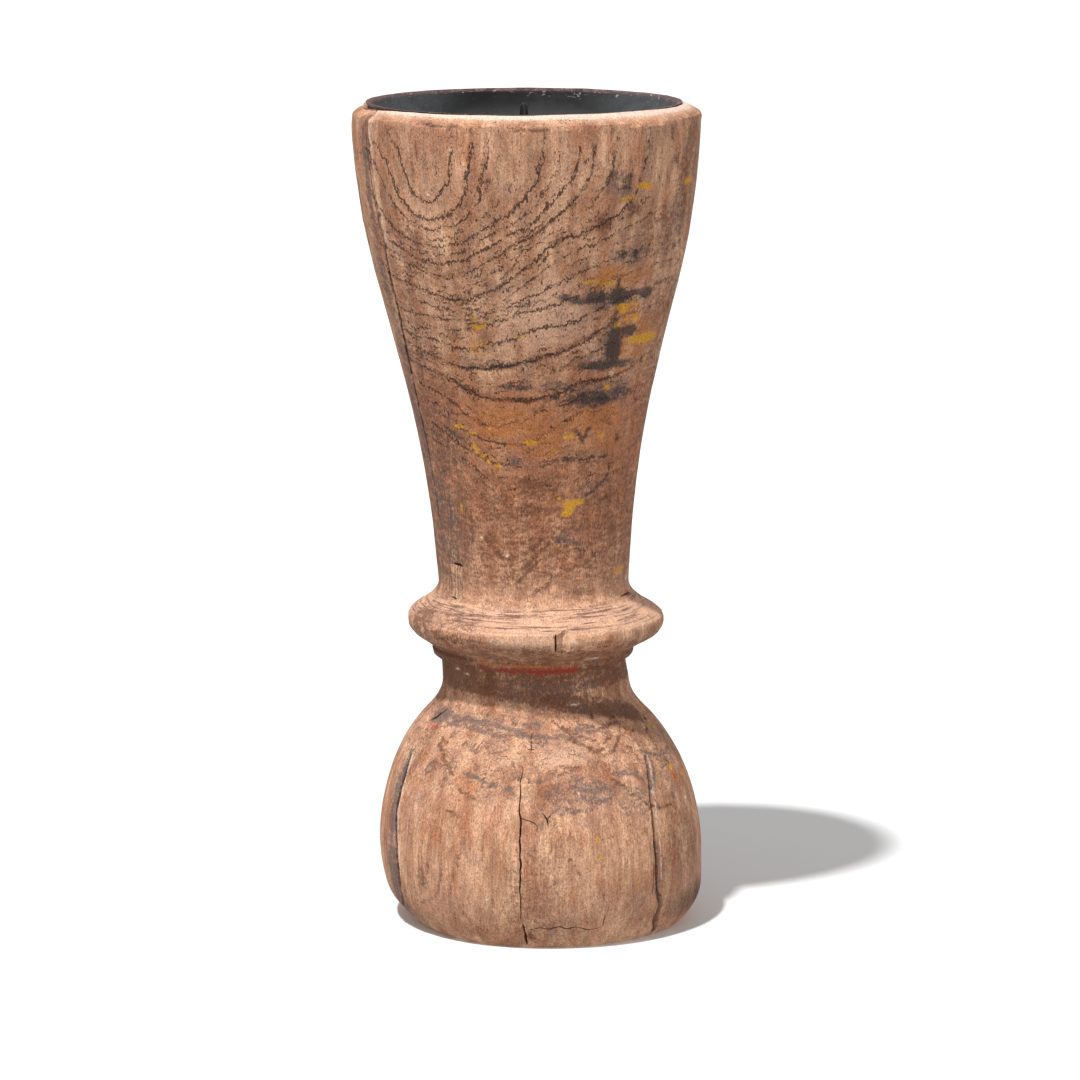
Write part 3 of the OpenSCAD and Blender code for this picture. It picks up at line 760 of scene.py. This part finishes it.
def stroke(place, half, path):
    """A thin line's share at each vertex."""
    azimuth, radius, height = place
    share = np.zeros(len(azimuth))
    degree = np.radians(1) * radius
    for (a0, z0), (a1, z1) in zip(path, path[1:]):
        x, y = ((azimuth - a0 + 180) % 360 - 180) * degree, height - z0
        dx, dy = (a1 - a0) * degree, z1 - z0
        t = np.clip((x * dx + y * dy) / (dx**2 + dy**2), 0, 1)
        share = np.maximum(share, soft_edge(np.hypot(x - t * dx, y - t * dy) / half))
    return share


def paint(obj):
    """A mask for each colour, with a soft edge for the material to break up."""
    place = surface_place(obj)
    marks = {name: list(rows) for name, rows in MARKS.items()}
    dice = np.random.default_rng(12)
    for name, count, most_w, most_h in SCATTER:
        for _ in range(count):
            at, z = dice.uniform(88, 272), dice.uniform(10, 270)
            half_w, half_h = dice.uniform(0.4, 1, 2) * (most_w, most_h)
            marks[name].append([at, z, half_w, half_h, dice.uniform(0.5, 0.9)])
    for name, rows in marks.items():
        mask = np.zeros(len(place[0]))
        for at, z, half_w, half_h, strength in rows:
            shape = spot(place, at, z, max(half_w, LEAST_HALF), max(half_h, LEAST_HALF))
            mask = np.maximum(mask, strength * shape)
        for colour, half, strength, path in STROKES:
            if colour == name:
                mask = np.maximum(mask, strength * stroke(place, half, path))
        store(obj, name, mask)


def mark_inside(obj):
    """A mask of painted shade that is 1 deep inside the cracks."""
    azimuth, radius, height = surface_place(obj)
    outline = resample(wood_profile, 0.6)
    below = np.empty(len(radius))
    for part in batches(len(radius)):
        away = np.hypot(radius[part, None] - outline[:, 0], height[part, None] - outline[:, 1])
        below[part] = away.min(axis=1)
    below = np.where(radius > outer_radius(height), 0, below)
    below += hand_turned(azimuth, radius, height)
    mask = np.clip((below - 1.0) / 1.5, 0, 1) * (height > 0.5)
    store(obj, "inside", mask * ((height < RECESS_LOW_Z) | (radius > DISH_R + 1.5)))


# ---------------------------------------------------------------- helpers for materials

def srgb(r, g, b):
    """A linear colour from its 0 to 255 screen values."""
    def linear(value):
        value /= 255
        return value / 12.92 if value < 0.04045 else ((value + 0.055) / 1.055)**2.4
    return (linear(r), linear(g), linear(b), 1)


class Value:
    """What a node gives out, with arithmetic that adds more nodes."""

    def __init__(self, shader, socket):
        self.shader = shader
        self.socket = socket

    def __add__(self, other):
        return self.shader.math("ADD", self, other)

    def __sub__(self, other):
        return self.shader.math("SUBTRACT", self, other)

    def __mul__(self, other):
        return self.shader.math("MULTIPLY", self, other)

    def __truediv__(self, other):
        return self.shader.math("DIVIDE", self, other)


class Shader:
    """A material's nodes, built up by short calls that return values."""

    def __init__(self, name):
        self.material = bpy.data.materials.new(name)
        self.material.use_nodes = True
        self.tree = self.material.node_tree
        self.surface = self.tree.nodes["Principled BSDF"]
        # The place on the object in millimetres
        where = self.node("ShaderNodeTexCoord", {}, "Object")
        self.place = self.vector("MULTIPLY", where, (1 / MM, 1 / MM, 1 / MM))

    def node(self, kind, inputs, output=0, **settings):
        """Adds a node and returns one of its outputs. Inputs go by number or by name."""
        made = self.tree.nodes.new(kind)
        for key, value in settings.items():
            setattr(made, key, value)
        for key, value in inputs.items():
            self.put(made.inputs[key], value)
        return Value(self, made.outputs[output])

    def put(self, socket, value):
        """Links a value to a socket, or sets the socket to a constant."""
        if isinstance(value, Value):
            self.tree.links.new(value.socket, socket)
        else:
            socket.default_value = value

    def math(self, operation, *values):
        """Arithmetic on numbers."""
        return self.node("ShaderNodeMath", dict(enumerate(values)), operation=operation)

    def vector(self, operation, *values):
        """Arithmetic on vectors."""
        return self.node("ShaderNodeVectorMath", dict(enumerate(values)), operation=operation)

    def split(self, vector):
        x = self.node("ShaderNodeSeparateXYZ", {0: vector})
        return [Value(self, socket) for socket in x.socket.node.outputs]

    def join(self, x, y, z):
        return self.node("ShaderNodeCombineXYZ", {0: x, 1: y, 2: z})

    def noise(self, size, detail=2, rough=0.5, shift=0, at=None):
        """Noise from 0 to 1. size is the cell's size in millimetres, as one number or three."""
        size = size if isinstance(size, tuple) else (size, size, size)
        fine = tuple(1 / side for side in size)
        start = (shift, shift * 0.7, shift * 1.3)
        place = self.vector("MULTIPLY_ADD", at or self.place, fine, start)
        inputs = {"Vector": place, "Scale": 1, "Detail": detail, "Roughness": rough}
        return self.node("ShaderNodeTexNoise", inputs)

    def cells(self, size, shift):
        """Voronoi cells: the distance to the cell's middle, and three random numbers of the cell."""
        fine = tuple(1 / side for side in size)
        place = self.vector("MULTIPLY_ADD", self.place, fine, (shift, shift, shift))
        middle = self.node("ShaderNodeTexVoronoi", {"Vector": place, "Scale": 1}, "Distance", feature="F1")
        return middle, self.split(Value(self, middle.socket.node.outputs["Color"]))

    def step(self, value, low, high, to_low=0, to_high=1):
        """A smooth step of a value from one range to another."""
        inputs = dict(enumerate((value, low, high, to_low, to_high)))
        return self.node("ShaderNodeMapRange", inputs, interpolation_type="SMOOTHSTEP")

    def mask(self, name):
        """A number that the mesh carries at each vertex."""
        return self.node("ShaderNodeAttribute", {}, "Fac", attribute_name=name)

    def blend(self, share, first, second, kind="MIX"):
        """From the first colour at share 0 to the second at share 1."""
        inputs = {0: share, 6: first, 7: second}
        return self.node("ShaderNodeMix", inputs, 2, data_type="RGBA", blend_type=kind)

    def shade(self, colour, factor):
        """A colour times a number."""
        grey = self.node("ShaderNodeCombineColor", {0: factor, 1: factor, 2: factor})
        return self.blend(1, colour, grey, "MULTIPLY")

    def bump(self, height, distance, strength):
        """A normal for a relief of so many millimetres."""
        inputs = {"Height": height, "Distance": distance * MM, "Strength": strength}
        return self.node("ShaderNodeBump", inputs)

    def finish(self, colour, roughness, normal=None, **constants):
        """Fills the surface's inputs and returns the material."""
        self.put(self.surface.inputs["Base Color"], colour)
        self.put(self.surface.inputs["Roughness"], roughness)
        if normal is not None:
            self.put(self.surface.inputs["Normal"], normal)
        for name, value in constants.items():
            self.surface.inputs[name.replace("_", " ")].default_value = value
        return self.material


def wear(obj, material):
    """Gives an object one material."""
    obj.data.materials.clear()
    obj.data.materials.append(material)


def smooth(obj, sharp_angle):
    """Smooth shading, apart from edges that are sharper than the angle."""
    obj.data.set_sharp_from_angle(angle=math.radians(sharp_angle))
    for polygon in obj.data.polygons:
        polygon.use_smooth = True


# ---------------------------------------------------------------- the wood's material

# Coats of stain and paint, the brown coat partly painted shade and the pale and chalk coats partly painted
# highlight: screen colour, softness of the mask's edge, and the most that the coat covers
COATS = {
    "pale": ((222, 176, 148), 0.4, 0.75), "brown": ((94, 56, 39), 0.4, 0.82),
    "grey": ((108, 92, 88), 0.34, 0.82), "orange": ((192, 120, 66), 0.35, 0.8),
    "yellow": ((218, 158, 48), 0.24, 0.92), "chalk": ((238, 212, 194), 0.2, 0.88),
    "black": ((58, 50, 49), 0.42, 0.84), "red": ((168, 62, 50), 0.26, 0.88),
}


class Wood(Shader):
    """Old sawn hardwood: growth rings of dark pores, upright fibres, weathering and old paint."""

    def __init__(self):
        super().__init__("reclaimed_wood")
        self.x, self.y, self.z = self.split(self.place)
        # Noises that several features share
        self.patches = self.step(self.noise((4.5, 4.5, 3.5), 3, 0.6, shift=31), 0.3, 0.7)
        self.grain = self.step(self.noise((0.42, 0.42, 0.7), 2, 0.75, shift=9), 0.27, 0.73, 0.67, 1.31)
        self.sway = self.noise((3.5, 3.5, 5), 2, shift=7) - 0.5
        # How hard it is for paint to stay on
        ragged = self.step(self.noise((0.55, 0.55, 1.7), 2, 0.7, shift=21), 0.3, 0.7)
        smear = self.step(self.noise((3, 3, 1.3), 3, 0.65, shift=27), 0.3, 0.7)
        self.resistance = smear * 0.45 + ragged * 0.4 + 0.08
        # Growth rings, set off up and down in teeth by the fibres
        teeth = self.noise((0.75, 0.75, 2.2), 1, shift=2) - 0.5
        tightness = self.mask("tightness")
        self.bent = (teeth * 2.6 + self.sway * 3.6) * tightness + self.mask("ring")
        self.turn = self.math("FRACT", self.bent + 0.5)
        # Millimetres from the nearest ring's dark line, and how strongly that line shows
        self.near = self.math("ABSOLUTE", self.turn - 0.5) / tightness
        self.vein = self.mask("vein")
        self.shown = self.step(self.patches * 0.9 + (self.vein - 0.45), 0.2, 0.75)
        # Light and dark fibres, weaker on the flare than below it
        self.flare = self.step(self.z, 108, 120)
        streak = self.step(self.noise((0.55, 0.55, 9), 3, 0.6, shift=5), 0.25, 0.75, -1, 1)
        self.streak = streak * (self.flare * -0.11 + 0.22) + 1

    def between(self, start, full, fading, end):
        """1 between two heights, and fading to 0 below and above them."""
        return self.step(self.z, start, full) * self.step(self.z, end, fading)

    def pits(self, size, shift, base, crowd):
        """Upright pits in cells of the given size: a base share of them, and more beside strong lines."""
        middle, (pick, _, width) = self.cells(size, shift)
        beside = self.step(self.near, 1.9, 0.2) * self.vein * self.shown
        share = beside * crowd + (self.patches * base + base * 0.5)
        share = share * self.step(self.z, 125, 160, 0.4, 1)
        return self.step(share - pick, 0, 0.05) * self.step(middle, width * 0.2 + 0.45, 0.2)

    def pores(self):
        """The rings' dark lines and the pits together."""
        dots = self.step(self.noise((0.6, 0.6, 0.8), 2, 0.6, shift=63), 0.34, 0.6)
        wide = (self.vein * 0.26 + 0.06) * (dots * 1.1 + 0.3)
        line = self.step(self.near - wide, 0.14, -0.08) * self.shown * self.step(self.vein, 0, 0.2)
        coarse = self.pits((0.6, 0.6, 1.5), 0, 0.035, 0.4)
        fine = self.pits((0.4, 0.4, 1.2), 19, 0.10, 0.35)
        return self.math("MAXIMUM", self.math("MAXIMUM", coarse, line * 0.95), fine * 0.55)

    def sound_colour(self):
        """The bare wood's colour: patchy, tanned low on the flare and scraped pale on top of the collar."""
        tone = self.noise((6, 6, 22), 3, 0.6, shift=3)
        colour = self.blend(self.step(tone, 0.3, 0.7), srgb(*TONE_LOW), srgb(*TONE_HIGH))
        redder = self.step(self.noise((12, 12, 18), 3, shift=12), 0.48, 0.72, 0, 0.5)
        colour = self.blend(redder, colour, srgb(*TONE_RED))
        greyer = self.noise((10, 10, 16), 3, 0.6, shift=44)
        colour = self.blend(self.step(greyer, 0.5, 0.75, 0, 0.5), colour, srgb(*TONE_GREY))
        rust = self.step(self.noise((5, 5, 13), 3, 0.6, shift=88), 0.52, 0.68, 0, 0.5)
        colour = self.blend(rust, colour, srgb(170, 104, 64))
        tanned = self.between(110, 150, 182, 200) * self.step(greyer, 0.3, 0.6, 0.75, 0.5)
        colour = self.blend(tanned, colour, srgb(176, 112, 78))
        scraped = self.between(104, 106, 111, 116) * self.step(self.x, -42, -26, 0, 0.4)
        return self.blend(scraped, colour, srgb(238, 192, 160))

    def fibres(self):
        """Brightness of the wood's fibres, around 1."""
        early = self.step(self.z, 165, 150, 1.05, 1.12)
        late = self.step(self.z, 165, 150, 0.93, 0.84)
        growth = self.step(self.turn, 0.5, 1, early, late)
        band = self.step(self.noise((2.6, 2.6, 30), 2, 0.5, shift=15), 0.3, 0.7, 0.90, 1.07)
        along = self.join(self.bent * 1.3, self.x * 0.16, self.y * 0.16)
        darkest = self.step(self.z, 180, 160, -0.16, -0.24)
        flame = self.step(self.noise(1, 3, 0.65, shift=4, at=along), 0.3, 0.7, darkest, 0.14)
        return growth * band * (self.streak * self.grain) * (self.flare * flame + 1)

    def lines(self, crests, where, patchy, colour, onto):
        """Lays thin lines on at the crests of a stretched noise, patchily within an area."""
        share = crests * where * self.step(self.patches, *patchy)
        return self.blend(share, onto, self.shade(srgb(*colour), self.grain))

    def fine_lines(self, colour):
        """The grain's finer lines, which lie another way on each part of the turning."""
        # The shoulder's grain lies across
        across = self.vector("ADD", self.place, self.join(0, 0, self.sway * 14))
        wave = self.step(self.noise((9, 9, 0.9), 3, 0.65, shift=51, at=across), 0.47, 0.6)
        colour = self.lines(wave, self.between(45, 58, 76, 84), (0.1, 0.8, 0.3, 0.8), (104, 80, 70), colour)
        # Turned grooves on top of the collar
        groove = self.step(self.noise((16, 16, 0.5), 2, 0.6, shift=81), 0.49, 0.6)
        collar = self.between(105.5, 107, 112, 114)
        colour = self.lines(groove, collar, (0, 0.8, 0.3, 0.85), (112, 84, 74), colour)
        # Upright fibres at the foot, on the neck and below the rim
        upright = self.step(self.noise((1.1, 1.1, 16), 3, 0.65, shift=57), 0.52, 0.7)
        where = self.step(self.z, 52, 40) + self.step(self.z, 238, 258) + self.between(80, 85, 94, 98)
        colour = self.lines(upright, where, (0, 1, 0.25, 0.7), (134, 88, 64), colour)
        # Grey fibres down the left of the flare, where its grain turns down
        grey = self.step(self.noise((0.8, 0.8, 26), 2, 0.6, shift=71), 0.46, 0.56)
        left = self.step(self.x, -13, -24) * self.between(110, 116, 165, 200)
        return self.lines(grey, left, (0, 1, 0.4, 0.8), (108, 86, 76), colour)

    def coats(self, names, colour):
        """Lays coats on where their painted masks beat the wood's resistance."""
        for name in names:
            paint_colour, soft, most = COATS[name]
            share = self.step(self.mask(name) - self.resistance, -soft, soft, 0, most)
            colour = self.blend(share, colour, self.shade(srgb(*paint_colour), self.grain))
        return colour


def wood_material():
    """The layers of the wood's colour, from the bare wood up to the paint, with painted light and shade among
    the coats and painted shade deep in the cracks.
    """
    s = Wood()
    pore = s.pores()
    colour = s.shade(s.sound_colour(), s.fibres())
    # The pale and brown coats carry painted highlight and painted shade as well as paler wood and stain
    colour = s.coats(["pale", "brown"], colour)
    colour = s.fine_lines(colour)
    colour = s.coats(["grey"], colour)
    colour = s.blend(pore * 0.9, colour, srgb(50, 30, 23))
    colour = s.coats(["orange", "yellow", "chalk", "black", "red"], colour)
    # Painted shade deep inside the cracks
    colour = s.blend(s.mask("inside") * 0.92, colour, srgb(38, 28, 24))
    normal = s.bump((s.streak + s.grain) * 0.35 - pore, 0.45, 0.9)
    rough = s.step(s.grain, 0.67, 1.31, 0.92, 0.76)
    return s.finish(colour, rough, normal, Specular_IOR_Level=0.25)


mark_grain(wood)
paint(wood)
mark_inside(wood)
smooth(wood, 20)
wear(wood, wood_material())


# ---------------------------------------------------------------- dish, spike and fixings

def dish_shift(azimuth, radius, height):
    """Hammered unevenness that grows towards the rim."""
    place = np.column_stack([heading(azimuth) * radius[:, None], height])
    up = np.clip((height - DISH_FLOOR_Z) / (DISH_RIM_Z - DISH_FLOOR_Z), 0, 1)
    return (0.05 + 0.12 * up) * fractal(place, 7, 61) * np.clip(radius / 12, 0, 1)


def dish_outline():
    """The dish's underside outwards from the spike's hole, then its upper side back in."""
    hole_r, edge_r = 2.1, DISH_R - 0.02
    outer = flat_profile(dish_node, np.arange(hole_r, edge_r, READING_STEP), DISH_FLOOR_Z - 10, 1)
    inner = flat_profile(dish_node, np.arange(edge_r, hole_r, -READING_STEP), DISH_RIM_Z + 5, -1)
    return np.vstack([resample(outer, DISH_STEP), resample(inner, DISH_STEP)])


def iron_material():
    """Black iron: nearly black below the rim, with dust and painted light making it lighter lower down and at
    the sides, rusty at the rim.
    """
    s = Shader("black_iron")
    x, _, z = s.split(s.place)
    dust = s.noise(6, 4, 0.6)
    fine = s.noise(0.6, 3, 0.6, shift=5)
    # Painted light: lighter lower down and towards both sides, broken up by dust
    low = s.step(z, DISH_RIM_Z - 3, DISH_RIM_Z - 15)
    side = s.step(s.math("ABSOLUTE", x), 14, 44)
    dust_and_painted_light = s.math("MAXIMUM", low, side) * s.step(dust, 0.2, 0.7, 0.55, 1)
    colour = s.blend(dust_and_painted_light, srgb(17, 17, 18), srgb(80, 81, 82))
    colour = s.shade(colour, s.step(fine, 0.25, 0.75, 0.8, 1.2))
    rim = s.step(z, DISH_RIM_Z - 1.3, DISH_RIM_Z - 0.5)
    chips = s.step(s.noise((3, 3, 1.5), 3, 0.65, shift=9), 0.44, 0.54)
    rust = s.blend(s.step(fine, 0.3, 0.7), srgb(84, 56, 56), srgb(134, 102, 100))
    colour = s.blend(rim * (chips * 0.55 + 0.4), colour, rust)
    near_rim = s.step(z, DISH_RIM_Z - 4, DISH_RIM_Z - 1)
    bare = s.step(s.noise((2.8, 2.8, 1.4), 4, 0.75, shift=14), 0.6, 0.68)
    colour = s.blend(near_rim * bare, colour, srgb(158, 150, 150))
    normal = s.bump(fine + chips * rim, 0.08, 0.6)
    rough = s.step(dust, 0.3, 0.8, 0.6, 0.8)
    return s.finish(colour, rough, normal, Specular_IOR_Level=0.22)


def spike_material():
    """Glossy black over forged iron, worn grey in spots."""
    s = Shader("spike_iron")
    worn = s.noise((1.2, 1.2, 3), 3)
    colour = s.blend(s.step(worn, 0.5, 0.75, 0, 0.6), srgb(18, 18, 19), srgb(60, 54, 50))
    return s.finish(colour, s.step(worn, 0.3, 0.8, 0.22, 0.55), s.bump(worn, 0.1, 0.5))


def steel_material():
    """Dull grey steel of the washer and the screws."""
    s = Shader("bare_steel")
    scuffs = s.noise(0.5, 3)
    colour = s.blend(s.step(scuffs, 0.3, 0.7), srgb(96, 92, 88), srgb(150, 146, 140))
    return s.finish(colour, s.step(scuffs, 0.3, 0.7, 0.35, 0.6), s.bump(scuffs, 0.05, 0.5), Metallic=0.9)


dish = turned("iron_dish", dish_outline(), np.linspace(0, 360, 200, endpoint=False), dish_shift, ring=True)
smooth(dish, 50)
wear(dish, iron_material())

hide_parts("turned_body")
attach(wood, "root")
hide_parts("drip_dish")
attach(dish, "root")

wear(spike_node, spike_material())
steel = steel_material()
wear(frame["nodes"]["spike_washer"], steel)
wear(frame["nodes"]["dish_screws"], steel)


# ---------------------------------------------------------------- floor, light and camera, in metres

def stand(data, place=(0, 0, 0), turn=(0, 0, 0)):
    """Puts a light or a camera in the scene."""
    made = bpy.data.objects.new(data.name, data)
    made.location = place
    made.rotation_euler = turn
    bpy.context.scene.collection.objects.link(made)
    return made


def make_floor():
    """A white floor that takes the shadow."""
    floor_size = 14
    bpy.ops.mesh.primitive_plane_add(size=floor_size, location=(0, 0, 0))
    floor = bpy.context.object
    floor.name = "floor"
    s = Shader("white_floor")
    wear(floor, s.finish((0.86, 0.86, 0.86, 1), 0.9, Specular_IOR_Level=0.1))
    floor.visible_diffuse = False


def make_sun(name, towards, energy, width):
    """A sun in the given direction, whose disc is so many degrees wide."""
    sun = bpy.data.lights.new(name, "SUN")
    sun.energy = energy
    sun.angle = math.radians(width)
    stand(sun, turn=towards.to_track_quat("Z", "Y").to_euler())


def make_light():
    """A high key light from the left, a weak fill from the front and a pale sky."""
    key_azimuth, key_height = -36, math.radians(65)
    out = heading(key_azimuth) * math.cos(key_height)
    make_sun("key", Vector((out[0], out[1], math.sin(key_height))), 3.1, 3)
    make_sun("fill", Vector((0.25, -1, 0.05)), 0.75, 50)
    world = bpy.data.worlds.new("studio")
    world.use_nodes = True
    nodes, links = world.node_tree.nodes, world.node_tree.links
    where = nodes.new("ShaderNodeTexCoord")
    split = nodes.new("ShaderNodeSeparateXYZ")
    level = nodes.new("ShaderNodeMapRange")
    # A little more light comes from below the horizon than from above it
    for socket, number in zip(level.inputs, (0, -0.1, 0.1, 0.58, 0.50)):
        socket.default_value = number
    links.new(where.outputs["Generated"], split.inputs[0])
    links.new(split.outputs["Z"], level.inputs[0])
    links.new(level.outputs[0], nodes["Background"].inputs["Strength"])
    nodes["Background"].inputs["Color"].default_value = (1, 1, 1, 1)
    bpy.context.scene.world = world


def make_camera():
    """A long lens in front of the candlestick, looking down a little."""
    looking_down = 10.12
    camera = bpy.data.cameras.new("camera")
    camera.lens = 161.8
    camera.sensor_width = 36
    turn = (math.radians(90 - looking_down), 0, 0)
    bpy.context.scene.camera = stand(camera, (0.0054, -1.624, 0.42), turn)


make_floor()
make_light()
make_camera()
bpy.context.scene.view_settings.view_transform = "Standard"

bpy.context.view_layer.update()
